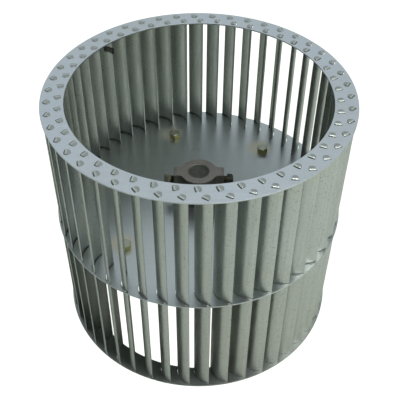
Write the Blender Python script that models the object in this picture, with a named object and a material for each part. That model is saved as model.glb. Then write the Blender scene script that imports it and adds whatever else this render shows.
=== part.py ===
"""Blower motor wheel: a double-inlet, forward-curved "squirrel cage" fan wheel.

Forty-six curved sheet blades run the whole width of the wheel.  They pass through slots
in a centre disc and end in tabs that are rolled over two flat end rings.  A hub with two
ears carries the wheel on its shaft, and a square-head set screw in each ear locks it.
Six hex bolts stand in a circle on the disc.

The wheel stands on one end: +Z is its axis, the origin is on that axis at the lowest
point of the rolled tabs.  All lengths are in metres.
"""

import bpy
import bmesh
from math import asin, cos, hypot, pi, radians, sin
from mathutils import Vector

# ---------------------------------------------------------------- driving dimensions
WHEEL_RADIUS = 0.135          # 270 mm wheel, 10 5/8 in
WHEEL_WIDTH = 0.244           # face to face over the end rings, 9 5/8 in
FIT_GAP = 0.0003              # clearance between touching pieces

BLADE_COUNT = 46
BLADE_PITCH = 2 * pi / BLADE_COUNT
BLADE_SHEET = 0.0008
BLADE_INNER_RADIUS = 0.1149   # radius of the inner edge
BLADE_ARC_RADIUS = 0.017      # the section is one circular arc
BLADE_INLET_ANGLE = radians(-3)    # section's direction from radial at the inner edge
BLADE_OUTLET_ANGLE = radians(80)   # the same at the outer edge
FIRST_BLADE_ANGLE = radians(-91.4)

RING_SHEET = 0.0012
RING_INNER_RADIUS = 0.115
RING_SIDES = 92

TAB_CENTRES = (radians(16), radians(58))   # section direction at the middle of each tab
TAB_HALF_TURN = radians(9.5)               # half a tab's width, as a turn along the arc
TAB_RISE = 0.0003             # straight length that shows above the ring
TAB_CREST = 0.0013            # height of the roll's middle surface above the ring
TAB_CREST_REACH = 0.0010
TAB_END_HEIGHT = 0.0008
TAB_END_REACH = 0.0046

DISC_SHEET = 0.0012
DISC_SIDES = 92
DISC_SLOT_END_GAP = 0.0006    # clearance past the blade's inner edge

BORE_RADIUS = 0.009525        # 3/4 in shaft
BOSS_RADIUS = 0.0171
BOSS_SIDES = 48
EAR_REACH = 0.0236            # from the axis to the end of an ear
EAR_HALF_WIDTH = 0.0060
EAR_FILLET = 0.006
HUB_HEIGHT = 0.0324           # above the disc
HUB_EDGE_BREAK = 0.0005
SPIGOT_RADIUS = 0.0125        # passes through the disc
STAKED_RADIUS = 0.0152        # collar riveted over under the disc
STAKED_THICKNESS = 0.0022

SCREW_RADIUS = 0.00397        # 5/16 in thread
SCREW_BELOW_HUB_TOP = 0.0108
SCREW_TIP = 0.0108            # distance of the tip from the axis
SCREW_HEAD_START = 0.0268
SCREW_HEAD_END = 0.0326
SCREW_HEAD_HALF = 0.00397     # 5/16 in across flats
SCREW_SIDES = 20

BOLT_COUNT = 6                # 1/4 in hex bolts through the disc
BOLT_CIRCLE_RADIUS = 0.0945
FIRST_BOLT_ANGLE = radians(46)
BOLT_RADIUS = 0.003175
BOLT_FLAT = 0.00476           # half of 3/8 in across flats, on the head and the nut
BOLT_HEAD_HEIGHT = 0.0055
BOLT_CHAMFER = 0.0004
NUT_HEIGHT = 0.0056
BOLT_END = 0.0020             # thread left past the nut
BOLT_SIDES = 12

BALANCE_CLIP_BLADE = 29       # counted from the first blade, which is 0
BALANCE_CLIP_SHEET = 0.0006
BALANCE_CLIP_REACH = radians(30)
BALANCE_CLIP_HEIGHT = 0.0055
BALANCE_CLIP_BELOW_RING = 0.0060

# ---------------------------------------------------------------- worked-out heights
TAB_HEIGHT = TAB_CREST + BLADE_SHEET / 2
LOWER_FACE = TAB_HEIGHT                     # outer face of the bottom ring
UPPER_FACE = LOWER_FACE + WHEEL_WIDTH       # outer face of the top ring
DISC_MIDDLE = (LOWER_FACE + UPPER_FACE) / 2
DISC_TOP = DISC_MIDDLE + DISC_SHEET / 2
DISC_BOTTOM = DISC_MIDDLE - DISC_SHEET / 2
HUB_TOP = DISC_TOP + HUB_HEIGHT
SCREW_HEIGHT = HUB_TOP - SCREW_BELOW_HUB_TOP
SLOT_HALF_WIDTH = BLADE_SHEET / 2 + FIT_GAP


# ---------------------------------------------------------------- scene and materials
def clear_scene():
    for thing in list(bpy.data.objects):
        bpy.data.objects.remove(thing, do_unlink=True)


def metal(name, colour, roughness, metallic=1.0):
    material = bpy.data.materials.new(name)
    material.use_nodes = True
    shader = material.node_tree.nodes["Principled BSDF"]
    shader.inputs["Base Color"].default_value = (*colour, 1.0)
    shader.inputs["Roughness"].default_value = roughness
    shader.inputs["Metallic"].default_value = metallic
    return material


def add_object(name, mesh, material, hidden=False):
    thing = bpy.data.objects.new(name, mesh)
    bpy.context.collection.objects.link(thing)
    if hidden:
        thing.hide_render = True
        thing.display_type = "WIRE"
    elif not mesh.materials:
        mesh.materials.append(material)
    return thing


def finish_mesh(name, shape):
    """Turn a bmesh into a mesh with its faces pointing out, round parts smooth."""
    bmesh.ops.recalc_face_normals(shape, faces=shape.faces)
    mesh = bpy.data.meshes.new(name)
    shape.to_mesh(mesh)
    shape.free()
    mesh.shade_smooth()
    mesh.set_sharp_from_angle(angle=radians(35))
    return mesh


def cut(thing, cutter):
    boolean = thing.modifiers.new("cut_" + cutter.name, "BOOLEAN")
    boolean.operation = "DIFFERENCE"
    boolean.solver = "EXACT"
    boolean.object = cutter


def prism(shape, outline, low, high):
    """Add the solid that a closed plan outline sweeps from one height to another."""
    lower = [shape.verts.new((x, y, low)) for x, y in outline]
    upper = [shape.verts.new((x, y, high)) for x, y in outline]
    shape.faces.new(reversed(lower))
    shape.faces.new(upper)
    for i in range(len(outline)):
        j = (i + 1) % len(outline)
        shape.faces.new((lower[i], lower[j], upper[j], upper[i]))


def circle(radius, sides):
    return [(radius * cos(2 * pi * i / sides), radius * sin(2 * pi * i / sides))
            for i in range(sides)]


def round_prism(name, radius, sides, low, high):
    shape = bmesh.new()
    prism(shape, circle(radius, sides), low, high)
    return finish_mesh(name, shape)


def turned(plan, angle):
    """A plan point turned about the wheel's axis."""
    x, y = plan
    return (x * cos(angle) - y * sin(angle), x * sin(angle) + y * cos(angle))


# ---------------------------------------------------------------- blade section
def section(turn, offset=0.0):
    """Plan point of a blade's arc where its direction is `turn` from radial.

    A positive offset lies on the hollow side.
    """
    x = BLADE_INNER_RADIUS + BLADE_ARC_RADIUS * (sin(turn) - sin(BLADE_INLET_ANGLE))
    y = BLADE_ARC_RADIUS * (cos(BLADE_INLET_ANGLE) - cos(turn))
    return (x - offset * sin(turn), y + offset * cos(turn))


def section_turns():
    """The arc's corners: its two edges, the sides of each tab, and one between them."""
    sides = [centre + side * TAB_HALF_TURN for centre in TAB_CENTRES for side in (-1, 1)]
    middle = (sides[1] + sides[2]) / 2
    return [BLADE_INLET_ANGLE, sides[0], sides[1], middle, sides[2], sides[3],
            BLADE_OUTLET_ANGLE]


def tab_spans():
    turns = section_turns()
    return [(turns[1], turns[2]), (turns[4], turns[5])]


def blade_angle(number):
    return FIRST_BLADE_ANGLE + number * BLADE_PITCH


def blade_mesh():
    """Middle surface of one blade with its two tabs at each end."""
    shape = bmesh.new()
    turns = section_turns()
    low = LOWER_FACE + RING_SHEET + FIT_GAP
    high = UPPER_FACE - RING_SHEET - FIT_GAP
    lower = {turn: shape.verts.new((*section(turn), low)) for turn in turns}
    upper = {turn: shape.verts.new((*section(turn), high)) for turn in turns}
    for a, b in zip(turns, turns[1:]):
        shape.faces.new((lower[a], lower[b], upper[b], upper[a]))

    roll = ((0.0, TAB_RISE), (TAB_CREST_REACH, TAB_CREST), (TAB_END_REACH, TAB_END_HEIGHT))
    for a, b in tab_spans():
        hollow_side = Vector((-sin((a + b) / 2), cos((a + b) / 2), 0))
        for edge, face, way in ((upper, UPPER_FACE, 1), (lower, LOWER_FACE, -1)):
            last = (edge[a], edge[b])
            for reach, rise in roll:
                row = []
                for turn in (a, b):
                    point = Vector((*section(turn), face + way * rise))
                    row.append(shape.verts.new(point + hollow_side * reach))
                shape.faces.new((last[0], last[1], row[1], row[0]))
                last = row
    return finish_mesh("blade", shape)


def make_blades(material):
    mesh = blade_mesh()
    for number in range(BLADE_COUNT):
        blade = add_object("blade_%02d" % (number + 1), mesh, material)
        blade.rotation_euler.z = blade_angle(number)
        sheet = blade.modifiers.new("sheet", "SOLIDIFY")
        sheet.thickness = BLADE_SHEET
        sheet.offset = 0.0
        sheet.use_even_offset = True


# ---------------------------------------------------------------- end rings
def tab_slot(span, angle):
    """Plan outline of the straight slot that one tab passes through."""
    a, b = (Vector(section(turn)) for turn in span)
    along = (b - a).normalized()
    across = Vector((-along.y, along.x))
    start = a - along * FIT_GAP
    end = b + along * FIT_GAP
    corners = (start - across * SLOT_HALF_WIDTH, end - across * SLOT_HALF_WIDTH,
               end + across * SLOT_HALF_WIDTH, start + across * SLOT_HALF_WIDTH)
    return [turned(corner, angle) for corner in corners]


def make_end_ring(name, low, material):
    ring = add_object(name, round_prism(name, WHEEL_RADIUS, RING_SIDES, low, low + RING_SHEET),
                      material)
    shape = bmesh.new()
    prism(shape, circle(RING_INNER_RADIUS, RING_SIDES), low - RING_SHEET, low + 2 * RING_SHEET)
    for number in range(BLADE_COUNT):
        for span in tab_spans():
            prism(shape, tab_slot(span, blade_angle(number)),
                  low - RING_SHEET, low + 2 * RING_SHEET)
    cut(ring, add_object(name + "_openings", finish_mesh(name + "_openings", shape), None, True))


# ---------------------------------------------------------------- centre disc
def blade_slot(angle):
    """Plan outline of the curved slot that one blade passes through."""
    turns = section_turns()
    extra = DISC_SLOT_END_GAP / BLADE_ARC_RADIUS
    turns = [turns[0] - extra, *turns[1:-1], turns[-1] + extra]
    convex = [section(turn, -SLOT_HALF_WIDTH) for turn in turns]
    hollow = [section(turn, SLOT_HALF_WIDTH) for turn in reversed(turns)]
    return [turned(point, angle) for point in convex + hollow]


def make_disc(material):
    disc = add_object("centre_disc", round_prism("centre_disc", WHEEL_RADIUS, DISC_SIDES,
                                                 DISC_BOTTOM, DISC_TOP), material)
    low = DISC_BOTTOM - DISC_SHEET
    high = DISC_TOP + DISC_SHEET
    shape = bmesh.new()
    prism(shape, circle(SPIGOT_RADIUS + FIT_GAP, BOSS_SIDES), low, high)
    for number in range(BLADE_COUNT):
        prism(shape, blade_slot(blade_angle(number)), low, high)
    for number in range(BOLT_COUNT):
        x, y = bolt_place(number)
        hole = circle(BOLT_RADIUS + FIT_GAP, BOLT_SIDES)
        prism(shape, [(x + dx, y + dy) for dx, dy in hole], low, high)
    cut(disc, add_object("disc_openings", finish_mesh("disc_openings", shape), None, True))


# ---------------------------------------------------------------- hub
def hub_outline():
    """Round boss with an ear to each side, filleted where they meet."""
    fillet_y = EAR_HALF_WIDTH + EAR_FILLET
    fillet_x = ((BOSS_RADIUS + EAR_FILLET) ** 2 - fillet_y ** 2) ** 0.5
    meet = asin(fillet_y / hypot(fillet_x, fillet_y))
    corner = [(EAR_REACH, EAR_HALF_WIDTH)]
    for step in range(4):
        angle = -pi / 2 - step / 3 * (pi / 2 - meet)
        corner.append((fillet_x + EAR_FILLET * cos(angle), fillet_y + EAR_FILLET * sin(angle)))
    for step in range(1, 10):
        angle = meet + step / 10 * (pi / 2 - meet)
        corner.append((BOSS_RADIUS * cos(angle), BOSS_RADIUS * sin(angle)))
    top = (0.0, BOSS_RADIUS)
    left = [(-x, y) for x, y in reversed(corner)]
    upper_half = corner + [top] + left
    return upper_half + [(-x, -y) for x, y in upper_half]


def make_hub(material):
    shape = bmesh.new()
    prism(shape, hub_outline(), DISC_TOP + FIT_GAP, HUB_TOP)
    hub = add_object("hub", finish_mesh("hub", shape), material)
    edges = hub.modifiers.new("edge_break", "BEVEL")
    edges.width = HUB_EDGE_BREAK
    edges.segments = 1
    edges.limit_method = "ANGLE"
    edges.angle_limit = radians(50)

    shape = bmesh.new()
    prism(shape, circle(SPIGOT_RADIUS, BOSS_SIDES), DISC_BOTTOM - FIT_GAP - STAKED_THICKNESS / 2,
          DISC_TOP + 2 * FIT_GAP)
    spigot = add_object("hub_spigot", finish_mesh("hub_spigot", shape), None, True)
    collar = add_object("hub_collar", round_prism(
        "hub_collar", STAKED_RADIUS, BOSS_SIDES,
        DISC_BOTTOM - FIT_GAP - STAKED_THICKNESS, DISC_BOTTOM - FIT_GAP), None, True)
    for extra in (spigot, collar):
        union = hub.modifiers.new("add_" + extra.name, "BOOLEAN")
        union.operation = "UNION"
        union.solver = "EXACT"
        union.object = extra

    bore = add_object("hub_bore", round_prism(
        "hub_bore", BORE_RADIUS, BOSS_SIDES, DISC_BOTTOM - 2 * STAKED_THICKNESS,
        HUB_TOP + STAKED_THICKNESS), None, True)
    cut(hub, bore)
    reach = 2 * EAR_REACH
    holes = add_object("screw_holes", round_prism(
        "screw_holes", SCREW_RADIUS + FIT_GAP, SCREW_SIDES, -reach, reach), None, True)
    holes.rotation_euler.y = pi / 2
    holes.location.z = SCREW_HEIGHT
    cut(hub, holes)


# ---------------------------------------------------------------- set screws
def screw_mesh():
    """Square-head set screw along +Z, its zero on the wheel's axis."""
    shape = bmesh.new()
    rings = []
    tip_cone = SCREW_RADIUS * 0.35
    for radius, along in ((SCREW_RADIUS - tip_cone, SCREW_TIP),
                          (SCREW_RADIUS, SCREW_TIP + tip_cone),
                          (SCREW_RADIUS, SCREW_HEAD_START)):
        rings.append([shape.verts.new((x, y, along)) for x, y in circle(radius, SCREW_SIDES)])
    shape.faces.new(reversed(rings[0]))
    for near, far in zip(rings, rings[1:]):
        for i in range(SCREW_SIDES):
            j = (i + 1) % SCREW_SIDES
            shape.faces.new((near[i], near[j], far[j], far[i]))
    shape.faces.new(rings[-1])
    return finish_mesh("screw_shank", shape)


def head_mesh():
    shape = bmesh.new()
    side = SCREW_HEAD_HALF
    square = [(side, side), (-side, side), (-side, -side), (side, -side)]
    prism(shape, square, SCREW_HEAD_START - FIT_GAP, SCREW_HEAD_END)
    return finish_mesh("screw_head", shape)


def make_set_screws(material):
    for name, angle in (("set_screw_right", pi / 2), ("set_screw_left", -pi / 2)):
        screw = add_object(name, screw_mesh(), material)
        head = add_object(name + "_head", head_mesh(), None, True)
        for piece in (screw, head):
            piece.rotation_euler.y = angle
            piece.location.z = SCREW_HEIGHT
        bevel = head.modifiers.new("edge_break", "BEVEL")
        bevel.width = HUB_EDGE_BREAK
        bevel.segments = 1
        union = screw.modifiers.new("add_head", "BOOLEAN")
        union.operation = "UNION"
        union.solver = "EXACT"
        union.object = head


# ---------------------------------------------------------------- disc bolts
def bolt_place(number):
    angle = FIRST_BOLT_ANGLE + number * 2 * pi / BOLT_COUNT
    return (BOLT_CIRCLE_RADIUS * cos(angle), BOLT_CIRCLE_RADIUS * sin(angle))


def hexagon(flat, sides):
    """Hexagon with corners along Y, with points in the middle of its flats as well."""
    points = []
    for i in range(sides):
        angle = 2 * pi * i / sides
        from_flat = ((angle + pi / 6) % (pi / 3)) - pi / 6
        radius = flat / cos(from_flat)
        points.append((radius * cos(angle), radius * sin(angle)))
    return points


def bolt_mesh():
    """Hex bolt through the disc with its nut run up tight, as one turned stack of layers."""
    under_head = DISC_TOP + FIT_GAP
    over_nut = DISC_BOTTOM - FIT_GAP
    under_nut = over_nut - NUT_HEIGHT
    top = under_head + BOLT_HEAD_HEIGHT
    shank = circle(BOLT_RADIUS, BOLT_SIDES)
    flats = hexagon(BOLT_FLAT, BOLT_SIDES)
    crown = circle(BOLT_FLAT - BOLT_CHAMFER, BOLT_SIDES)
    layers = ((shank, under_nut - BOLT_END), (shank, under_nut), (flats, under_nut),
              (flats, over_nut), (shank, over_nut), (shank, under_head),
              (flats, under_head), (flats, top - BOLT_CHAMFER), (crown, top))
    shape = bmesh.new()
    rows = [[shape.verts.new((x, y, height)) for x, y in outline]
            for outline, height in layers]
    shape.faces.new(reversed(rows[0]))
    shape.faces.new(rows[-1])
    for lower, upper in zip(rows, rows[1:]):
        for i in range(BOLT_SIDES):
            j = (i + 1) % BOLT_SIDES
            shape.faces.new((lower[i], lower[j], upper[j], upper[i]))
    return finish_mesh("disc_bolt", shape)


def make_bolts(material):
    mesh = bolt_mesh()
    for number in range(BOLT_COUNT):
        bolt = add_object("disc_bolt_%d" % (number + 1), mesh, material)
        bolt.location.xy = bolt_place(number)


# ---------------------------------------------------------------- balance clip
def make_balance_clip(material):
    """Spring clip that straddles one blade's inner edge just below the top ring."""
    near = SLOT_HALF_WIDTH
    far = near + BALANCE_CLIP_SHEET
    turns = [BLADE_INLET_ANGLE, TAB_CENTRES[0] - TAB_HALF_TURN, BALANCE_CLIP_REACH]
    edge_x, edge_y = section(turns[0])
    inside = [section(turn, near) for turn in reversed(turns)]
    inside += [(edge_x - near, edge_y)]
    inside += [section(turn, -near) for turn in turns]
    outside = [section(turn, -far) for turn in reversed(turns)]
    outside += [(edge_x - far, edge_y)]
    outside += [section(turn, far) for turn in turns]
    shape = bmesh.new()
    top = UPPER_FACE - RING_SHEET - BALANCE_CLIP_BELOW_RING
    prism(shape, inside + outside, top - BALANCE_CLIP_HEIGHT, top)
    clip = add_object("balance_clip", finish_mesh("balance_clip", shape), material)
    clip.rotation_euler.z = blade_angle(BALANCE_CLIP_BLADE)


# ---------------------------------------------------------------- the wheel
def main():
    clear_scene()
    galvanised = metal("galvanised_sheet", (0.62, 0.65, 0.64), 0.35)
    disc_sheet = metal("disc_sheet", (0.42, 0.46, 0.46), 0.28)
    sintered = metal("sintered_steel", (0.19, 0.17, 0.15), 0.55)
    yellow_zinc = metal("yellow_zinc", (0.45, 0.42, 0.16), 0.35)
    dark_zinc = metal("dark_zinc", (0.16, 0.15, 0.10), 0.4)
    spring_steel = metal("spring_steel", (0.10, 0.10, 0.10), 0.4)

    make_end_ring("top_end_ring", UPPER_FACE - RING_SHEET, galvanised)
    make_end_ring("bottom_end_ring", LOWER_FACE, galvanised)
    make_blades(galvanised)
    make_disc(disc_sheet)
    make_hub(sintered)
    make_set_screws(dark_zinc)
    make_bolts(yellow_zinc)
    make_balance_clip(spring_steel)


main()
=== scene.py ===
from math import asin, cos, hypot, pi, radians, sin
from random import Random

import bmesh
import bpy
from mathutils import Matrix, Vector


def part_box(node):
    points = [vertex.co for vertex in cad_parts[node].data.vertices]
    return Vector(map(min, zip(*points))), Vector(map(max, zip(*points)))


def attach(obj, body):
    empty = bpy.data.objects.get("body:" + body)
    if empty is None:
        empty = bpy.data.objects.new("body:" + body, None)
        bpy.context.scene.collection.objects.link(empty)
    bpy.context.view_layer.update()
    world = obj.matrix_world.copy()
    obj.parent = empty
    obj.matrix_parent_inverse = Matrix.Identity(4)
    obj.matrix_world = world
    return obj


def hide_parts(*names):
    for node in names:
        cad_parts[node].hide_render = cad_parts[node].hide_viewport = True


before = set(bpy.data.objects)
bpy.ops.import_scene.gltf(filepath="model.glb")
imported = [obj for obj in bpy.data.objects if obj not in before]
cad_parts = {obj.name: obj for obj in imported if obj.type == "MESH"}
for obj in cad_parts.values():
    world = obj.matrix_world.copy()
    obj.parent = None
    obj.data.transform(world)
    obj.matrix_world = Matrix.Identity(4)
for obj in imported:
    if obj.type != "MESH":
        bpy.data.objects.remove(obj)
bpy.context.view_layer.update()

# ---------------------------------------------------------------- sizes from the frame
RING_LOW, RING_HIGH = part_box("top_end_ring")
BASE_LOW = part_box("bottom_end_ring")[0]
DISC_LOW, DISC_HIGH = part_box("centre_disc")
HUB_LOW, HUB_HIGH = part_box("hub")
SCREW_LOW, SCREW_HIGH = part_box("set_screw_right")
CLIP_LOW, CLIP_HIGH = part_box("balance_clip")

WHEEL_RADIUS = RING_HIGH[0]
UPPER_FACE = RING_HIGH[2]         # outer faces of the two end rings
LOWER_FACE = BASE_LOW[2]
RING_SHEET = RING_HIGH[2] - RING_LOW[2]
DISC_TOP = DISC_HIGH[2]
DISC_BOTTOM = DISC_LOW[2]
DISC_MIDDLE = (DISC_TOP + DISC_BOTTOM) / 2
HUB_TOP = HUB_HIGH[2]
EAR_REACH = HUB_HIGH[0]
BOSS_RADIUS = HUB_HIGH[1]
SCREW_HEIGHT = (SCREW_LOW[2] + SCREW_HIGH[2]) / 2

# ---------------------------------------------------------------- sizes of the design
BLADE_COUNT = 46
BLADE_PITCH = 2 * pi / BLADE_COUNT
BLADE_SHEET = 0.0008
BLADE_INNER_RADIUS = 0.1149
BLADE_ARC_RADIUS = 0.017
BLADE_INLET_ANGLE = radians(-3)
BLADE_OUTLET_ANGLE = radians(80)
FIRST_BLADE_ANGLE = radians(-91.4)
RING_INNER_RADIUS = 0.115
TAB_CENTRES = (radians(16), radians(58))
TAB_HALF_TURN = radians(9.6)
BORE_RADIUS = 0.009525
EAR_HALF_WIDTH = 0.0060
EAR_FILLET = 0.006
SPIGOT_RADIUS = 0.0125
STAKED_RADIUS = 0.0152
SCREW_RADIUS = 0.00397
THREAD_PITCH = 0.00141
THREAD_ROOM = 0.00025          # gap round a set screw in its hole
HEAD_HALF = 0.00397
BOLT_COUNT = 6
BOLT_FLAT = 0.00476
BOLT_SHANK = 0.003175
BALANCE_CLIP_BLADE = 29

random = Random(46)


# ---------------------------------------------------------------- mesh helpers
def new_object(name, mesh):
    thing = bpy.data.objects.new(name, mesh)
    bpy.context.scene.collection.objects.link(thing)
    return thing


def object_from(name, shape, sharp=32):
    """An object from a bmesh, faces pointing out, smooth except at sharp angles."""
    bmesh.ops.recalc_face_normals(shape, faces=shape.faces)
    mesh = bpy.data.meshes.new(name)
    shape.to_mesh(mesh)
    shape.free()
    mesh.shade_smooth()
    mesh.set_sharp_from_angle(angle=radians(sharp))
    return new_object(name, mesh)


def settle(thing, sharp=32):
    """Apply an object's modifiers, then shade it."""
    depsgraph = bpy.context.evaluated_depsgraph_get()
    mesh = bpy.data.meshes.new_from_object(thing.evaluated_get(depsgraph))
    thing.modifiers.clear()
    thing.data = mesh
    mesh.shade_smooth()
    mesh.set_sharp_from_angle(angle=radians(sharp))
    normals = thing.modifiers.new("normals", "WEIGHTED_NORMAL")
    normals.keep_sharp = True
    return thing


def bevel(thing, width, segments=2, angle=40):
    modifier = thing.modifiers.new("bevel", "BEVEL")
    modifier.width = width
    modifier.segments = segments
    modifier.limit_method = "ANGLE"
    modifier.angle_limit = radians(angle)


def cut(thing, cutter, operation="DIFFERENCE"):
    modifier = thing.modifiers.new("cut", "BOOLEAN")
    modifier.operation = operation
    modifier.solver = "EXACT"
    modifier.object = cutter


def drop(thing):
    bpy.data.objects.remove(thing, do_unlink=True)


def prism(shape, outline, low, high):
    """Add the solid that a closed plan outline sweeps from one height to another."""
    lower = [shape.verts.new((x, y, low)) for x, y in outline]
    upper = [shape.verts.new((x, y, high)) for x, y in outline]
    shape.faces.new(reversed(lower))
    shape.faces.new(upper)
    for i in range(len(outline)):
        j = (i + 1) % len(outline)
        shape.faces.new((lower[i], lower[j], upper[j], upper[i]))


def stack(shape, rows):
    """Skin a stack of rings of points, with a face over each end."""
    rings = [[shape.verts.new(point) for point in row] for row in rows]
    for near, far in zip(rings, rings[1:]):
        for i in range(len(near)):
            j = (i + 1) % len(near)
            shape.faces.new((near[i], near[j], far[j], far[i]))
    shape.faces.new(reversed(rings[0]))
    shape.faces.new(rings[-1])


def circle(radius, sides, height=None):
    points = [(radius * cos(2 * pi * i / sides), radius * sin(2 * pi * i / sides))
              for i in range(sides)]
    if height is None:
        return points
    return [(x, y, height) for x, y in points]


def lathe(shape, profile, sides):
    """Turn a closed profile of (radius, height) corners round the axis."""
    rings = [[shape.verts.new(point) for point in circle(radius, sides, height)]
             for radius, height in profile]
    for near, far in zip(rings, rings[1:] + rings[:1]):
        for i in range(sides):
            j = (i + 1) % sides
            shape.faces.new((near[i], near[j], far[j], far[i]))


def turned(plan, angle):
    x, y = plan
    return (x * cos(angle) - y * sin(angle), x * sin(angle) + y * cos(angle))


def blade_angle(number):
    return FIRST_BLADE_ANGLE + number * BLADE_PITCH


def section(turn, offset=0.0):
    """Plan point of a blade's arc where its direction is `turn` from radial."""
    x = BLADE_INNER_RADIUS + BLADE_ARC_RADIUS * (sin(turn) - sin(BLADE_INLET_ANGLE))
    y = BLADE_ARC_RADIUS * (cos(BLADE_INLET_ANGLE) - cos(turn))
    return (x - offset * sin(turn), y + offset * cos(turn))


def spread(start, end, steps):
    return [start + (end - start) * i / steps for i in range(steps + 1)]


# ---------------------------------------------------------------- materials
class Nodes:
    """Short hand for building one node-based material."""

    def __init__(self, name):
        self.material = bpy.data.materials.new(name)
        self.material.use_nodes = True
        self.tree = self.material.node_tree
        self.shader = self.tree.nodes["Principled BSDF"]
        self.coordinates = self.add("ShaderNodeTexCoord").outputs["Object"]

    def add(self, kind, **settings):
        node = self.tree.nodes.new(kind)
        for key, value in settings.items():
            setattr(node, key, value)
        return node

    def link(self, source, target):
        self.tree.links.new(source, target)

    def height(self):
        """The height of the shaded point."""
        node = self.add("ShaderNodeSeparateXYZ")
        self.link(self.coordinates, node.inputs["Vector"])
        return node.outputs["Z"]

    def scaled(self, scale):
        """Coordinates stretched by a scale for each axis."""
        node = self.add("ShaderNodeVectorMath", operation="MULTIPLY")
        self.link(self.coordinates, node.inputs[0])
        node.inputs[1].default_value = scale
        return node.outputs[0]

    def noise(self, scale, detail=4.0, roughness=0.55, vector=None):
        node = self.add("ShaderNodeTexNoise")
        node.inputs["Scale"].default_value = scale
        node.inputs["Detail"].default_value = detail
        node.inputs["Roughness"].default_value = roughness
        self.link(vector or self.coordinates, node.inputs["Vector"])
        return node.outputs["Fac"]

    def cells(self, scale):
        node = self.add("ShaderNodeTexVoronoi", feature="F1")
        node.inputs["Scale"].default_value = scale
        self.link(self.coordinates, node.inputs["Vector"])
        return node.outputs["Distance"]

    def ramp(self, source, stops):
        """Map a value to colours or greys at the given places."""
        node = self.add("ShaderNodeValToRGB")
        elements = node.color_ramp.elements
        while len(elements) < len(stops):
            elements.new(0.5)
        for element, (place, value) in zip(elements, stops):
            element.position = place
            colour = value if isinstance(value, tuple) else (value, value, value)
            element.color = (*colour, 1.0)
        self.link(source, node.inputs["Fac"])
        return node.outputs["Color"]

    def span(self, source, low, high, start=0.0, end=1.0):
        """Map a value's range to another."""
        node = self.add("ShaderNodeMapRange")
        node.inputs["From Min"].default_value = low
        node.inputs["From Max"].default_value = high
        node.inputs["To Min"].default_value = start
        node.inputs["To Max"].default_value = end
        self.link(source, node.inputs["Value"])
        return node.outputs["Result"]

    def mix(self, factor, first, second):
        node = self.add("ShaderNodeMix", data_type="RGBA")
        for socket, value in ((node.inputs["Factor"], factor), (node.inputs["A"], first),
                              (node.inputs["B"], second)):
            self.feed(socket, value)
        return node.outputs["Result"]

    def feed(self, socket, value):
        if isinstance(value, bpy.types.NodeSocket):
            self.link(value, socket)
        elif isinstance(value, tuple) and len(value) == 3:
            socket.default_value = (*value, 1.0)
        else:
            socket.default_value = value

    def maths(self, operation, first, second=0.0):
        node = self.add("ShaderNodeMath", operation=operation)
        for socket, value in zip(node.inputs, (first, second)):
            self.feed(socket, value)
        return node.outputs[0]

    def bump(self, height, strength, distance, under=None):
        node = self.add("ShaderNodeBump")
        node.inputs["Strength"].default_value = strength
        node.inputs["Distance"].default_value = distance
        self.link(height, node.inputs["Height"])
        if under is not None:
            self.link(under, node.inputs["Normal"])
        return node.outputs["Normal"]

    def finish(self, colour, roughness, normal=None, metallic=1.0):
        self.feed(self.shader.inputs["Base Color"], colour)
        self.feed(self.shader.inputs["Roughness"], roughness)
        self.feed(self.shader.inputs["Metallic"], metallic)
        if normal is not None:
            self.link(normal, self.shader.inputs["Normal"])
        return self.material


FOOT_START = 0.002            # distances from the disc's middle: a blade's hollow side gets painted shade near the disc that fades out up to here
FOOT_FADE = 0.030             # is darker near the disc and fades out up to here
FOOT_SHADE = 0.5
FOOT_LINE = 0.0024            # a darker painted shadow line lies right at its foot
FOOT_LINE_END = 0.0034
FOOT_LINE_SHADE = 0.85


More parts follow.
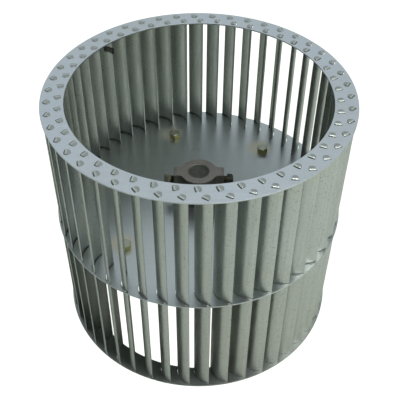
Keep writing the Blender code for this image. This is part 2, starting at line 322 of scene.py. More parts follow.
def sheet_metal(name, tone, grain, roughness, speckle=0.5, line_mix=1.0):
    """Galvanised sheet: rolled grain along one axis, faint spangle, dust and small marks.

    Where the mesh stores a tab-shade value, painted shade darkens the tab past its bend. Where it
    stores a "hollow" value, painted shade darkens the sheet towards the centre disc.
    """
    nodes = Nodes(name)
    lines = nodes.noise(1.0, 5.0, 0.6, nodes.scaled(grain))
    broad = nodes.noise(9.0, 3.0)
    spangle = nodes.cells(260.0)
    marks = nodes.noise(700.0, 2.0, 0.7)
    dust = nodes.noise(45.0, 6.0, 0.7)

    dull = tuple(0.86 * c for c in tone)
    bright = tuple(min(1.0, 1.08 * c) for c in tone)
    middle = 0.5 * line_mix
    colour = nodes.mix(nodes.span(lines, 0.3, 0.7, 0.5 - middle, 0.5 + middle), dull, bright)
    colour = nodes.mix(nodes.span(spangle, 0.0, 0.9, 0.0, 0.18), colour,
                       tuple(0.8 * c for c in tone))
    stain = tuple(c * k for c, k in zip(tone, (0.80, 0.80, 0.72)))
    colour = nodes.mix(nodes.span(broad, 0.45, 0.75, 0.0, 0.5), colour, stain)
    spots = nodes.ramp(marks, [(0.34, 1.0), (0.40, 0.0)])
    colour = nodes.mix(nodes.maths("MULTIPLY", spots, speckle), colour,
                       tuple(0.35 * c for c in tone))

    # painted shade on the blade's hollow side near the disc, with a painted shadow line at its foot
    away = nodes.maths("ABSOLUTE", nodes.maths("SUBTRACT", nodes.height(), DISC_MIDDLE))
    away = nodes.maths("ADD", away, nodes.span(dust, 0.3, 0.7, -0.0004, 0.0004))
    soft = nodes.span(away, FOOT_START, FOOT_FADE, FOOT_SHADE, 0.0)
    line = nodes.span(away, FOOT_LINE, FOOT_LINE_END, FOOT_LINE_SHADE, 0.0)
    foot = nodes.maths("MAXIMUM", soft, line)
    hollow = nodes.add("ShaderNodeAttribute", attribute_name="hollow").outputs["Fac"]
    colour = nodes.mix(nodes.maths("MULTIPLY", foot, hollow), colour,
                       tuple(0.16 * c for c in tone))
    # painted shade on the flat part of each rolled tab past its bend
    painted_tab_shade = nodes.add("ShaderNodeAttribute", attribute_name="painted_tab_shade").outputs["Fac"]
    colour = nodes.mix(nodes.maths("MULTIPLY", painted_tab_shade, 0.62), colour, tuple(0.42 * c for c in tone))
    rough = nodes.span(dust, 0.3, 0.7, roughness - 0.07, roughness + 0.10)
    rough = nodes.maths("ADD", rough, nodes.span(lines, 0.3, 0.7, -0.03, 0.03))
    normal = nodes.bump(lines, 0.25 * line_mix, 0.00004)
    normal = nodes.bump(marks, 0.15, 0.00003, normal)
    return nodes.finish(colour, rough, normal)


STAIN_OFFSET = (-0.003, 0.005)    # a stain's centre from its bolt
STAIN_EDGE = 0.0145               # it fades out between these two radii
STAIN_CORE = 0.0075
STAIN_SHARE = 0.75


def disc_metal(bolts):
    """Centre disc: smoother sheet, with a pale yellow stain beside each bolt."""
    nodes = Nodes("disc_sheet_metal")
    lines = nodes.noise(1.0, 5.0, 0.6, nodes.scaled((14.0, 900.0, 900.0)))
    broad = nodes.noise(11.0, 4.0)
    marks = nodes.noise(900.0, 2.0, 0.7)
    colour = nodes.mix(nodes.span(lines, 0.3, 0.7), (0.475, 0.515, 0.515), (0.515, 0.555, 0.555))
    colour = nodes.mix(nodes.span(broad, 0.42, 0.75, 0.0, 0.45), colour, (0.42, 0.45, 0.42))
    spots = nodes.ramp(marks, [(0.18, 1.0), (0.24, 0.0)])
    colour = nodes.mix(nodes.maths("MULTIPLY", spots, 0.5), colour, (0.16, 0.17, 0.16))

    wobble = nodes.noise(160.0, 3.0)
    stain = None
    for x, y in bolts:
        away = nodes.add("ShaderNodeVectorMath", operation="DISTANCE")
        flat = nodes.scaled((1.0, 1.0, 0.0))
        nodes.link(flat, away.inputs[0])
        away.inputs[1].default_value = (x + STAIN_OFFSET[0], y + STAIN_OFFSET[1], 0.0)
        reach = nodes.maths("ADD", away.outputs["Value"],
                            nodes.span(wobble, 0.3, 0.7, -0.002, 0.002))
        here = nodes.span(reach, STAIN_EDGE, STAIN_CORE, 0.0, 1.0)
        stain = here if stain is None else nodes.maths("MAXIMUM", stain, here)
    colour = nodes.mix(nodes.maths("MULTIPLY", stain, STAIN_SHARE), colour,
                       (0.57, 0.55, 0.42))

    rough = nodes.span(nodes.noise(30.0, 5.0, 0.7), 0.3, 0.7, 0.27, 0.36)
    rough = nodes.maths("ADD", rough, nodes.maths("MULTIPLY", stain, 0.16))
    normal = nodes.bump(lines, 0.08, 0.00003)
    return nodes.finish(colour, rough, normal)


def cast_metal():
    """Sintered hub: dull brown-grey, fine pores, painted shade on the flanks below its top edge."""
    nodes = Nodes("sintered_hub_metal")
    pores = nodes.noise(1800.0, 3.0, 0.75)
    cloud = nodes.noise(120.0, 4.0)
    colour = nodes.mix(nodes.span(cloud, 0.35, 0.7), (0.19, 0.182, 0.165), (0.255, 0.245, 0.225))
    colour = nodes.mix(nodes.ramp(pores, [(0.34, 1.0), (0.44, 0.0)]), colour,
                       (0.09, 0.08, 0.07))
    # painted shade: everything below the hub's top edge is darkened
    painted_flank_shade = nodes.span(nodes.height(), HUB_TOP - 0.0014, HUB_TOP - 0.0005, 0.6, 0.0)
    colour = nodes.mix(painted_flank_shade, colour, (0.075, 0.075, 0.06))
    rough = nodes.span(cloud, 0.3, 0.7, 0.50, 0.66)
    normal = nodes.bump(pores, 0.5, 0.0001)
    return nodes.finish(colour, rough, normal, 0.9)


def bore_metal():
    """Reamed bore: smoother than the hub round it, and brighter, partly as machined steel and
    partly as painted light, with faint tool rings.
    """
    nodes = Nodes("reamed_bore_metal")
    rings = nodes.noise(1.0, 4.0, 0.6, nodes.scaled((60.0, 60.0, 1600.0)))
    haze = nodes.noise(140.0, 4.0)
    # bright bore colour: partly machined steel, partly painted light in a bore that lies in shade
    colour = nodes.mix(nodes.span(rings, 0.3, 0.7), (0.52, 0.54, 0.51), (0.70, 0.72, 0.69))
    colour = nodes.mix(nodes.span(haze, 0.5, 0.75, 0.0, 0.5), colour, (0.28, 0.27, 0.24))
    rough = nodes.span(haze, 0.3, 0.7, 0.26, 0.40)
    return nodes.finish(colour, rough, nodes.bump(rings, 0.15, 0.00003), 0.85)


def plated_metal(name, low, high, roughness, worn=0.6, top=None):
    """Zinc-plated fastener: a chromate film that drifts in tint, with worn patches.

    Above the height `top` the film is painted a paler grey: a painted sheen on the top face.
    """
    nodes = Nodes(name)
    film = nodes.noise(260.0, 4.0, 0.6)
    wear = nodes.noise(600.0, 4.0, 0.7)
    colour = nodes.mix(nodes.span(film, 0.3, 0.7), low, high)
    colour = nodes.mix(nodes.ramp(wear, [(0.62, 0.0), (0.70, worn)]), colour, (0.5, 0.5, 0.44))
    if top is not None:
        # painted sheen: the top face is painted a paler grey
        face = nodes.span(nodes.height(), top - 0.0006, top - 0.0002, 0.0, 0.8)
        colour = nodes.mix(face, colour, (0.40, 0.42, 0.37))
    rough = nodes.span(wear, 0.3, 0.7, roughness - 0.08, roughness + 0.12)
    return nodes.finish(colour, rough, nodes.bump(wear, 0.25, 0.00005))


def spring_metal():
    nodes = Nodes("blackened_spring_steel")
    film = nodes.noise(300.0, 4.0, 0.6)
    colour = nodes.mix(nodes.span(film, 0.3, 0.7), (0.05, 0.05, 0.05), (0.12, 0.12, 0.11))
    rough = nodes.span(film, 0.3, 0.7, 0.28, 0.45)
    return nodes.finish(colour, rough, nodes.bump(film, 0.2, 0.00004))


# ---------------------------------------------------------------- blades
TAB_BEND = ((0.0, -0.00020, 1.0), (0.00008, 0.00003, 0.95), (0.00028, 0.00022, 0.85),
            (0.00062, 0.00037, 0.72), (0.00105, 0.00045, 0.62))   # reach, rise, thickness
TAB_LENGTH = 0.0047           # reach of a rolled tab over the ring
TAB_ROUND = 0.0029            # length of its rounded end
TAB_END_SHARE = 0.40          # its end is pressed down to this share of the sheet
TAB_THIN_REACH = 0.0022       # length past the bend over which it thins
TAB_TIP_WIDTH = 0.16          # least share of the width, at its very end
TAB_SHADE_START = 0.0010            # reach at which painted shade starts on a tab
TAB_SHADE_FULL = 0.0019
BODY_ROWS = 22


def blade_columns():
    """Turns along the section, and which columns belong to each tab."""
    turns = spread(BLADE_INLET_ANGLE, TAB_CENTRES[0] - TAB_HALF_TURN, 3)
    groups = []
    for centre, after in zip(TAB_CENTRES, (TAB_CENTRES[1] - TAB_HALF_TURN, BLADE_OUTLET_ANGLE)):
        first = len(turns) - 1
        turns += spread(turns[-1], centre + TAB_HALF_TURN, 6)[1:]
        groups.append((first, len(turns) - 1))
        turns += spread(turns[-1], after, 4)[1:]
    return turns, groups


def roll_path(droop, reach):
    """(reach, rise, thickness share) of the rolled tab's middle surface over the ring."""
    path = list(TAB_BEND)
    x, z, share = path[-1]
    straight = reach - TAB_ROUND - x
    outs = [straight * 0.5, straight]
    outs += [straight + TAB_ROUND * sin(angle) for angle in spread(0, pi / 2, 6)[1:]]
    for out in outs:
        thin = share + (TAB_END_SHARE - share) * min(1.0, out / TAB_THIN_REACH)
        path.append((x + out, z - out * sin(droop), thin))
    return path


def add_tab(shape, edge, turns, centre, face, way, droop, reach):
    """Grow one rolled tab from a row of the blade's end edge."""
    weights = shape.verts.layers.deform.verify()
    normal = Vector((-sin(centre), cos(centre), 0))
    along = Vector((cos(centre), sin(centre), 0))
    middle = Vector((*section(centre), 0))
    path = roll_path(droop, reach)
    last = edge
    for out, rise, thin in path:
        into_end = min(1.0, max(0.0, (out - (reach - TAB_ROUND)) / TAB_ROUND))
        narrow = max(TAB_TIP_WIDTH, (1 - into_end ** 2) ** 0.5)
        row = []
        for turn in turns:
            point = Vector((*section(turn), 0))
            side = (point - middle).dot(along) * narrow
            bow = (point - middle).dot(normal) * max(0.0, 1 - out / TAB_BEND[-1][0])
            place = middle + along * side + normal * (bow + out)
            place.z = face + way * rise
            vertex = shape.verts.new(place)
            vertex[weights][0] = thin
            row.append(vertex)
        for i in range(len(row) - 1):
            shape.faces.new((last[i], last[i + 1], row[i + 1], row[i]))
        last = row


def blade_surface():
    """Middle surface of one blade, slightly rippled, with its rolled tabs."""
    shape = bmesh.new()
    weights = shape.verts.layers.deform.verify()
    turns, groups = blade_columns()
    low = LOWER_FACE + RING_SHEET
    high = UPPER_FACE - RING_SHEET
    phase = [random.uniform(0, 2 * pi) for _ in range(4)]
    swell = random.uniform(0.00003, 0.00010)
    rows = []
    for height in spread(low, high, BODY_ROWS):
        share = (height - low) / (high - low)
        held = sin(pi * share) * abs(cos(pi * share))
        row = []
        for index, turn in enumerate(turns):
            across = index / (len(turns) - 1)
            ripple = sin(7 * pi * share + phase[0]) + 0.6 * sin(13 * pi * share + phase[1])
            ripple += 0.8 * sin(3 * across + 2 * pi * share + phase[2])
            vertex = shape.verts.new((*section(turn, swell * held * ripple), height))
            vertex[weights][0] = 1.0
            row.append(vertex)
        rows.append(row)
    for near, far in zip(rows, rows[1:]):
        for i in range(len(near) - 1):
            shape.faces.new((near[i], near[i + 1], far[i + 1], far[i]))
    for (first, last), centre in zip(groups, TAB_CENTRES):
        for row, face, way in ((rows[-1], UPPER_FACE, 1), (rows[0], LOWER_FACE, -1)):
            droop = radians(random.uniform(4, 5))
            reach = TAB_LENGTH + random.uniform(-0.0002, 0.0002)
            add_tab(shape, row[first:last + 1], turns[first:last + 1], centre, face, way,
                    droop, reach)
    return shape


def mark_blade(mesh):
    """Store where a tab gets painted shade past its bend, and which side is hollow."""
    centre_x, centre_y = section(0.0, BLADE_ARC_RADIUS)
    painted_tab_shade = mesh.attributes.new("painted_tab_shade", "FLOAT", "POINT")
    hollow = mesh.attributes.new("hollow", "FLOAT", "POINT")
    for vertex in mesh.vertices:
        x, y, z = vertex.co
        past = BLADE_ARC_RADIUS - hypot(x - centre_x, y - centre_y)
        on_ring = z > UPPER_FACE or z < LOWER_FACE
        share = (past - TAB_SHADE_START) / (TAB_SHADE_FULL - TAB_SHADE_START)
        painted_tab_shade.data[vertex.index].value = max(0.0, min(1.0, share)) if on_ring else 0.0
        hollow.data[vertex.index].value = 1.0 if past > 0.0 else 0.0


def make_blades(material):
    for number in range(BLADE_COUNT):
        node = "blade_%02d" % (number + 1)
        blade = object_from("wheel_" + node, blade_surface(), 180)
        sheet = blade.modifiers.new("sheet", "SOLIDIFY")
        sheet.thickness = BLADE_SHEET
        sheet.offset = 0.0
        blade.vertex_groups.new(name="sheet")
        sheet.vertex_group = "sheet"
        bevel(blade, 0.00014, 2, 50)
        settle(blade, 40)
        mark_blade(blade.data)
        blade.data.transform(Matrix.Rotation(blade_angle(number), 4, "Z"))
        blade.data.materials.append(material)
        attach(blade, "wheel")
        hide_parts(node)


# ---------------------------------------------------------------- end rings
RING_SIDES = 276
TOP_SLOT_CONVEX = 0.0010      # room on the blades' convex side in each ring's slots
BOTTOM_SLOT_CONVEX = 0.0006
RING_SLOT_HOLLOW = 0.0006
RING_SLOT_END = 0.0002
EDGE_ROUND = 0.00015


def round_edge_profile(inner, outer, low, high, edge):
    """Closed (radius, height) profile of a flat annulus with rounded edges."""
    corners = ((inner + edge, low + edge, pi), (outer - edge, low + edge, 1.5 * pi),
               (outer - edge, high - edge, 0), (inner + edge, high - edge, pi / 2))
    profile = []
    for x, z, start in corners:
        for step in range(4):
            angle = start + step / 3 * pi / 2
            profile.append((x + edge * cos(angle), z + edge * sin(angle)))
    return profile


SLOT_INNER_END = 0.0001       # room past a blade's inner edge


def slot_outline(first, last, convex, hollow, end, angle, steps=6, belly=0.0):
    """Plan outline of a slot along a blade's arc, wider by a belly towards the rim."""
    extra = end / BLADE_ARC_RADIUS
    turns = spread(first - SLOT_INNER_END / BLADE_ARC_RADIUS, last + extra, steps)
    bulges = [belly * sin(pi * (step / steps) ** 1.5) for step in range(steps + 1)]
    outline = [section(turn, -convex - 0.6 * bulge) for turn, bulge in zip(turns, bulges)]
    outline += [section(turn, hollow + bulge)
                for turn, bulge in zip(reversed(turns), reversed(bulges))]
    return [turned(point, angle) for point in outline]


def make_end_ring(name, node, low, convex, material):
    shape = bmesh.new()
    lathe(shape, round_edge_profile(RING_INNER_RADIUS, WHEEL_RADIUS, low, low + RING_SHEET,
                                    EDGE_ROUND), RING_SIDES)
    ring = object_from(name, shape)
    shape = bmesh.new()
    for number in range(BLADE_COUNT):
        for centre in TAB_CENTRES:
            outline = slot_outline(centre - TAB_HALF_TURN, centre + TAB_HALF_TURN, convex,
                                   RING_SLOT_HOLLOW, RING_SLOT_END, blade_angle(number), 4)
            prism(shape, outline, low - RING_SHEET, low + 2 * RING_SHEET)
    slots = object_from(name + "_slots", shape)
    cut(ring, slots)
    settle(ring, 25)
    drop(slots)
    ring.data.materials.clear()
    ring.data.materials.append(material)
    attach(ring, "wheel")
    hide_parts(node)


# ---------------------------------------------------------------- centre disc
def bolt_places():
    places = []
    for number in range(BOLT_COUNT):
        low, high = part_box("disc_bolt_%d" % (number + 1))
        places.append(((low[0] + high[0]) / 2, (low[1] + high[1]) / 2))
    return places


DISC_SLOT_SIDE = 0.0005       # half width of a disc slot at its ends
DISC_SLOT_BELLY = 0.0009      # how much further it opens on the blade's hollow side


def make_disc(material):
    shape = bmesh.new()
    lathe(shape, round_edge_profile(SPIGOT_RADIUS + 0.0001, WHEEL_RADIUS, DISC_BOTTOM, DISC_TOP,
                                    EDGE_ROUND), RING_SIDES)
    disc = object_from("wheel_disc", shape)
    shape = bmesh.new()
    for number in range(BLADE_COUNT):
        outline = slot_outline(BLADE_INLET_ANGLE, BLADE_OUTLET_ANGLE, DISC_SLOT_SIDE,
                               DISC_SLOT_SIDE, 0.0006, blade_angle(number), 16,
                               DISC_SLOT_BELLY)
        prism(shape, outline, DISC_BOTTOM - 0.001, DISC_TOP + 0.001)
    slots = object_from("disc_slots", shape)
    cut(disc, slots)
    settle(disc, 25)
    drop(slots)
    disc.data.materials.clear()
    disc.data.materials.append(material)
    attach(disc, "wheel")
    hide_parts("centre_disc")


LIP_HEIGHT = 0.0009
LIP_SHEET = 0.00035
LIP_FLARE = 0.0004            # how much wider than its sheet a lip's foot is
LIP_BURIED = -0.0002          # its foot starts just below the disc's face
LIP_OFFSET = -0.0010          # from the blade's middle surface, on its convex side
LIP_FIRST = radians(46)       # turns of the blade's arc between which it stands
LIP_LAST = radians(76)
LIP_STEPS = 14


def add_lip(shape, angle):
    """One raised lip: a thin bent strip that fades out at both ends."""
    rows = []
    for step, turn in enumerate(spread(LIP_FIRST, LIP_LAST, LIP_STEPS)):
        rise = LIP_HEIGHT * sin(pi * step / LIP_STEPS) ** 0.5
        foot = LIP_OFFSET - LIP_SHEET - LIP_FLARE
        points = ((LIP_OFFSET, LIP_BURIED), (LIP_OFFSET, rise),
                  (LIP_OFFSET - LIP_SHEET * 0.6, rise), (foot, 0.0001), (foot, LIP_BURIED))
        rows.append([Vector((*turned(section(turn, across), angle), DISC_TOP + up))
                     for across, up in points])
    stack(shape, rows)


def make_slot_lips(material):
    """Burrs that stand up along the disc's slots, where the blades were pushed through."""
    shape = bmesh.new()
    for number in range(BLADE_COUNT):
        add_lip(shape, blade_angle(number))
    lips = object_from("disc_slot_lips", shape, 50)
    lips.data.materials.append(material)
    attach(lips, "wheel")


# ---------------------------------------------------------------- hub
EAR_CHAMFER_START = 0.0202
EAR_CHAMFER_DROP = 0.0009


def hub_outline():
    """Round boss with an ear to each side, filleted where they meet."""
    fillet_y = EAR_HALF_WIDTH + EAR_FILLET
    fillet_x = ((BOSS_RADIUS + EAR_FILLET) ** 2 - fillet_y ** 2) ** 0.5
    meet = asin(fillet_y / hypot(fillet_x, fillet_y))
    quarter = [(EAR_REACH, EAR_HALF_WIDTH)]
    for angle in spread(-pi / 2, meet - pi, 8):
        quarter.append((fillet_x + EAR_FILLET * cos(angle), fillet_y + EAR_FILLET * sin(angle)))
    for angle in spread(meet, pi / 2, 18)[1:-1]:
        quarter.append((BOSS_RADIUS * cos(angle), BOSS_RADIUS * sin(angle)))
    half = quarter + [(0.0, BOSS_RADIUS)] + [(-x, y) for x, y in reversed(quarter)]
    return half + [(-x, -y) for x, y in half]


def make_hub(material, bore_material):
    shape = bmesh.new()
    prism(shape, hub_outline(), DISC_TOP, HUB_TOP)
    hub = object_from("wheel_hub", shape)
    bevel(hub, 0.0005, 2, 40)
    shape = bmesh.new()
    for side in (-1, 1):
        start, end = side * EAR_CHAMFER_START, side * (EAR_REACH + 0.001)
        drop_in = EAR_CHAMFER_DROP * (EAR_REACH + 0.001 - EAR_CHAMFER_START)
        drop_in /= EAR_REACH - EAR_CHAMFER_START
        wide = EAR_HALF_WIDTH + 0.002
        corners = [(start, HUB_TOP), (start, HUB_TOP + 0.003), (end, HUB_TOP + 0.003),
                   (end, HUB_TOP - drop_in)]
        stack(shape, [[(x, y, z) for x, z in corners] for y in (-wide, wide)])
    chamfers = object_from("ear_chamfers", shape, 5)
    shape = bmesh.new()
    collar_low = HUB_LOW[2]
    chamfer = 0.0006
    stack(shape, [circle(STAKED_RADIUS - chamfer, 64, collar_low),
                  circle(STAKED_RADIUS, 64, collar_low + chamfer),
                  circle(STAKED_RADIUS, 64, DISC_BOTTOM - 0.0001),
                  circle(SPIGOT_RADIUS, 64, DISC_BOTTOM - 0.0001),
                  circle(SPIGOT_RADIUS, 64, DISC_TOP + 0.001)])
    spigot = object_from("hub_spigot", shape)
    shape = bmesh.new()
    stack(shape, [circle(BORE_RADIUS + 2 * chamfer, 64, collar_low - chamfer),
                  circle(BORE_RADIUS, 64, collar_low + chamfer),
                  circle(BORE_RADIUS, 64, HUB_TOP - chamfer),
                  circle(BORE_RADIUS + 2 * chamfer, 64, HUB_TOP + chamfer)])
    bore = object_from("hub_bore", shape)
    shape = bmesh.new()
    hole = SCREW_RADIUS + THREAD_ROOM
    flare = hole + 0.0007
    end = EAR_REACH + 0.0001
    stack(shape, [circle(flare + 0.0006, 40, -end - 0.0006), circle(hole, 40, -end + 0.0007),
                  circle(hole, 40, end - 0.0007), circle(flare + 0.0006, 40, end + 0.0006)])
    holes = object_from("screw_holes", shape)
    holes.data.transform(Matrix.Translation((0, 0, SCREW_HEIGHT))
                         @ Matrix.Rotation(pi / 2, 4, "Y"))
    cut(hub, chamfers)
    cut(hub, spigot, "UNION")
    cut(hub, bore)
    cut(hub, holes)
    settle(hub, 28)
    for cutter in (chamfers, spigot, bore, holes):
        drop(cutter)
    hub.data.materials.clear()
    hub.data.materials.append(material)
    hub.data.materials.append(bore_material)
    for face in hub.data.polygons:
        in_bore = hypot(face.center.x, face.center.y) < BORE_RADIUS + 0.0001
        face.material_index = 1 if in_bore and abs(face.normal.z) < 0.3 else 0
    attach(hub, "wheel")
    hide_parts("hub")


# ---------------------------------------------------------------- threads and heads
THREAD_SIDES = 32
THREAD_DEPTH = 0.00042
HEAD_SIDES = 72
SCREW_HEAD_LENGTH = 0.0058
NUT_HEIGHT = 0.0056


def threaded_rows(radius, start, end):
    """Rings of a threaded shank along +Z; the crest follows a helix."""
    rows = []
    steps = max(2, round((end - start) / THREAD_PITCH * 8))
    for height in spread(start, end, steps):
        row = []
        for i in range(THREAD_SIDES):
            angle = 2 * pi * i / THREAD_SIDES
            turn = (height / THREAD_PITCH - i / THREAD_SIDES) % 1.0
            fade = min(1.0, (height - start) / THREAD_PITCH, (end - height) / THREAD_PITCH + 0.3)
            drop_in = THREAD_DEPTH * abs(2 * turn - 1) * max(0.3, fade)
            row.append(((radius - drop_in) * cos(angle), (radius - drop_in) * sin(angle), height))
        rows.append(row)
    return rows


def polygon_radius(angle, flat, corners):
    """Radius of a regular polygon with flats at `flat` from its centre."""
    sector = 2 * pi / corners
    return flat / cos((angle % sector) - sector / 2)


def head_rows(flat, corners, bottom, top, chamfer, both=False):
    """Rings of a wrench head whose corners are turned down at the top, or at both ends."""
    largest = flat / cos(pi / corners)
    heights = [bottom] + spread(bottom + chamfer if both else bottom + 0.00001,
                                top - chamfer, 2) + spread(top - chamfer, top, 4)[1:]
    if both:
        heights = spread(bottom, bottom + chamfer, 4)[:-1] + heights[1:]
    rows = []
    for height in heights:
        from_end = top - height
        if both:
            from_end = min(from_end, height - bottom)
        limit = largest - (largest - flat * 0.97) * max(0.0, 1 - from_end / chamfer)
        row = []
        for i in range(HEAD_SIDES):
            angle = 2 * pi * i / HEAD_SIDES
            radius = min(polygon_radius(angle, flat, corners), limit)
            row.append((radius * cos(angle), radius * sin(angle), height))
        rows.append(row)
    return rows


def make_set_screws(material):
    tip = SCREW_LOW[0]
    head_end = SCREW_HIGH[0]
    head_start = head_end - SCREW_HEAD_LENGTH
    for side, body, angle in (("right", "right_screw", pi / 2), ("left", "left_screw", -pi / 2)):
        shape = bmesh.new()
        rows = [circle(SCREW_RADIUS * 0.62, 32, tip)]
        rows += threaded_rows(SCREW_RADIUS, tip + 0.0008, head_start - 0.0002)
        rows.append(circle(SCREW_RADIUS * 0.86, 32, head_start + 0.0003))
        stack(shape, rows)
        stack(shape, head_rows(HEAD_HALF, 4, head_start, head_end, 0.0011))
        screw = object_from("square_head_screw_" + side, shape, 28)
        spin = random.uniform(0.2, 0.5) if side == "left" else pi / 4
        screw.data.transform(Matrix.Translation((0, 0, SCREW_HEIGHT))
                             @ Matrix.Rotation(angle, 4, "Y")
                             @ Matrix.Rotation(spin, 4, "Z"))
        screw.data.materials.append(material)
        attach(screw, body)
        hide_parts("set_screw_" + side)


def make_bolts(material):
    for number in range(BOLT_COUNT):
        node = "disc_bolt_%d" % (number + 1)
        low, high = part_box(node)
        x, y = (low[0] + high[0]) / 2, (low[1] + high[1]) / 2
        spin = pi / 6 + random.uniform(-0.12, 0.12)
        place = Matrix.Translation((x, y, 0)) @ Matrix.Rotation(spin, 4, "Z")

        shape = bmesh.new()
        stack(shape, [circle(BOLT_FLAT * 0.93, 48, DISC_TOP + 0.00005),
                      circle(BOLT_FLAT * 0.93, 48, DISC_TOP + 0.0005)])
        stack(shape, head_rows(BOLT_FLAT, 6, DISC_TOP + 0.0004, high[2], 0.0006))
        stack(shape, threaded_rows(BOLT_SHANK, low[2], DISC_BOTTOM))
        bolt = object_from("hex_bolt_%d" % (number + 1), shape, 28)
        bolt.data.transform(place)
        bolt.data.materials.append(material)
        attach(bolt, "wheel")
        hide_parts(node)

        shape = bmesh.new()
        nut_top = DISC_BOTTOM - 0.00005
        stack(shape, head_rows(BOLT_FLAT, 6, nut_top - NUT_HEIGHT, nut_top, 0.0006, both=True))
        nut = object_from("hex_nut_%d" % (number + 1), shape, 28)
        nut.data.transform(place)
        nut.data.materials.append(material)
        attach(nut, "wheel")


# ---------------------------------------------------------------- balance clip
def make_balance_clip(material):
    """Spring clip pushed over one blade's inner edge, its mouth flared open."""
    near = BLADE_SHEET / 2 + 0.0001
    thick = 0.0006
    turns = spread(BLADE_INLET_ANGLE, radians(30), 12)
    edge_x, edge_y = section(turns[0])
    bend = [(edge_x - near * sin(a), edge_y + near * cos(a)) for a in spread(0, pi, 8)]
    wide = near + thick
    outer = [(edge_x - wide * sin(a), edge_y + wide * cos(a)) for a in spread(0, pi, 8)]

    def leg(offset, side):
        points = []
        for index, turn in enumerate(turns[1:]):
            flare = 0.0006 * max(0.0, (index - 8) / 3) ** 1.5
            points.append(section(turn, side * (offset + flare)))
        return points

    inside = list(reversed(leg(near, 1))) + bend + leg(near, -1)
    outside = list(reversed(leg(wide, -1))) + list(reversed(outer)) + leg(wide, 1)
    shape = bmesh.new()
    prism(shape, inside + outside, CLIP_LOW[2], CLIP_HIGH[2])
    clip = object_from("blade_balance_clip", shape)
    bevel(clip, 0.0001, 2, 50)
    settle(clip, 35)
    clip.data.transform(Matrix.Rotation(blade_angle(BALANCE_CLIP_BLADE), 4, "Z"))
    clip.data.materials.append(material)
    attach(clip, "wheel")
    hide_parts("balance_clip")


# ---------------------------------------------------------------- camera and studio
CAMERA_PLACE = Vector((0.0, -3.71124 * WHEEL_RADIUS, UPPER_FACE + 2.64452 * WHEEL_RADIUS))
CAMERA_PITCH = 0.768065
CAMERA_YAW = 0.002737
CAMERA_ROLL = 0.008735
CAMERA_LENS = 64.184


def make_camera():
    camera = bpy.data.cameras.new("camera")
    camera.lens = CAMERA_LENS
    camera.sensor_width = 36.0
    thing = bpy.data.objects.new("camera", camera)
    bpy.context.scene.collection.objects.link(thing)
    thing.matrix_world = (Matrix.Translation(CAMERA_PLACE)
                          @ Matrix.Rotation(-CAMERA_YAW, 4, "Z")
                          @ Matrix.Rotation(pi / 2 - CAMERA_PITCH, 4, "X")
                          @ Matrix.Rotation(CAMERA_ROLL, 4, "Z"))
    bpy.context.scene.camera = thing


def area_light(name, place, target, size, power, colour=(1, 1, 1)):
    light = bpy.data.lights.new(name, "AREA")
    light.shape = "RECTANGLE"
    light.size, light.size_y = size
    light.energy = power
    light.color = colour
    thing = bpy.data.objects.new(name, light)
    bpy.context.scene.collection.objects.link(thing)
    thing.location = place
    thing.rotation_euler = (Vector(target) - Vector(place)).to_track_quat("-Z", "Y").to_euler()


SKY_DIRECTION = Vector((0.0, 0.64, 0.77)).normalized()
GLOW_DIRECTION = Vector((0.60, -0.45, -0.65)).normalized()


def make_world():
    """Soft surround: cool above, dim near the horizon, with a warm glow low on one side."""
    world = bpy.data.worlds.new("studio")
    bpy.context.scene.world = world
    world.use_nodes = True
    tree = world.node_tree
    background = tree.nodes["Background"]
    place = tree.nodes.new("ShaderNodeTexCoord").outputs["Generated"]

    def weight(direction, low, high):
        dot = tree.nodes.new("ShaderNodeVectorMath")
        dot.operation = "DOT_PRODUCT"
        tree.links.new(place, dot.inputs[0])
        dot.inputs[1].default_value = direction
        span = tree.nodes.new("ShaderNodeMapRange")
        span.interpolation_type = "SMOOTHSTEP"
        span.inputs["From Min"].default_value = low
        span.inputs["From Max"].default_value = high
        tree.links.new(dot.outputs["Value"], span.inputs["Value"])
        return span.outputs["Result"]

    def blend(factor, first, second):
        mix = tree.nodes.new("ShaderNodeMix")
        mix.data_type = "RGBA"
        tree.links.new(factor, mix.inputs["Factor"])
        for socket, value in ((mix.inputs["A"], first), (mix.inputs["B"], second)):
            if isinstance(value, tuple):
                socket.default_value = (*value, 1.0)
            else:
                tree.links.new(value, socket)
        return mix.outputs["Result"]

    upper = blend(weight(SKY_DIRECTION, 0.45, 0.9), (0.10, 0.11, 0.11), (0.63, 0.685, 0.72))
    lower = blend(weight(GLOW_DIRECTION, 0.3, 0.95), (0.52, 0.55, 0.49), (0.80, 0.82, 0.75))
    tree.links.new(blend(weight((0, 0, 1), -0.15, 0.0), lower, upper), background.inputs["Color"])
    background.inputs["Strength"].default_value = 1.0


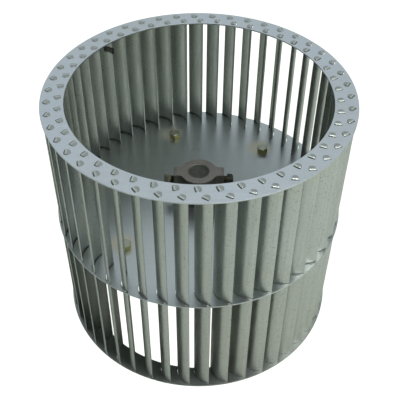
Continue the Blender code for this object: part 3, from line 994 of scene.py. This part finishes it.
def make_studio():
    shape = bmesh.new()
    reach = 6.0
    corners = [(-reach, -reach, 0), (reach, -reach, 0), (reach, reach, 0), (-reach, reach, 0)]
    shape.faces.new([shape.verts.new(corner) for corner in corners])
    floor = object_from("floor", shape)
    floor.location.z = -0.001
    nodes = Nodes("pale_floor")
    tone = nodes.mix(nodes.span(nodes.noise(3.0), 0.3, 0.7), (0.86, 0.87, 0.87), (0.9, 0.9, 0.9))
    nodes.finish(tone, 0.7, None, 0.0)
    nodes.feed(nodes.shader.inputs["Emission Color"], (1.0, 1.0, 1.0))
    nodes.feed(nodes.shader.inputs["Emission Strength"], 0.75)
    floor.data.materials.append(nodes.material)
    floor.visible_glossy = False
    floor.visible_diffuse = False
    floor.visible_shadow = False
    ground = new_object("ground", floor.data.copy())
    nodes = Nodes("grey_ground")
    tone = nodes.mix(nodes.span(nodes.noise(3.0), 0.3, 0.7), (0.70, 0.73, 0.68), (0.78, 0.80, 0.75))
    nodes.finish(tone, 0.8, None, 0.0)
    ground.data.materials.clear()
    ground.data.materials.append(nodes.material)
    ground.visible_camera = False

    make_world()
    centre = (0, 0, 0.12)
    area_light("key", (0.95, -1.05, 1.35), centre, (1.6, 1.6), 20, (1.0, 0.99, 0.96))
    area_light("overhead", (0.1, -0.1, 1.9), centre, (0.45, 0.45), 7, (1.0, 1.0, 1.0))
    bpy.context.scene.view_settings.view_transform = "Standard"


def main():
    make_camera()
    make_studio()
    blade_metal = sheet_metal("blade_sheet_metal", (0.58, 0.62, 0.58), (500.0, 500.0, 9.0), 0.36,
                              0.6)
    ring_metal = sheet_metal("ring_sheet_metal", (0.62, 0.67, 0.70), (12.0, 600.0, 600.0), 0.38,
                             0.2, 0.35)
    make_blades(blade_metal)
    make_end_ring("wheel_ring_top", "top_end_ring", UPPER_FACE - RING_SHEET, TOP_SLOT_CONVEX,
                  ring_metal)
    # a darker copy of the end rings' sheet: painted shade on the lower ring
    shaded_ring_metal = sheet_metal("shaded_lower_ring_sheet_metal", (0.46, 0.49, 0.48),
                              (12.0, 600.0, 600.0), 0.42, 0.3, 0.35)
    make_end_ring("wheel_ring_bottom", "bottom_end_ring", LOWER_FACE, BOTTOM_SLOT_CONVEX,
                  shaded_ring_metal)
    disc_sheet = disc_metal(bolt_places())
    make_disc(disc_sheet)
    make_slot_lips(disc_sheet)
    make_hub(cast_metal(), bore_metal())
    make_set_screws(plated_metal("dark_zinc_film", (0.035, 0.036, 0.028), (0.10, 0.10, 0.07),
                                 0.28, 0.25))
    bolt_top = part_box("disc_bolt_1")[1][2]
    make_bolts(plated_metal("yellow_zinc_film", (0.27, 0.28, 0.11), (0.42, 0.41, 0.19), 0.30,
                            0.35, bolt_top))
    make_balance_clip(spring_metal())


main()
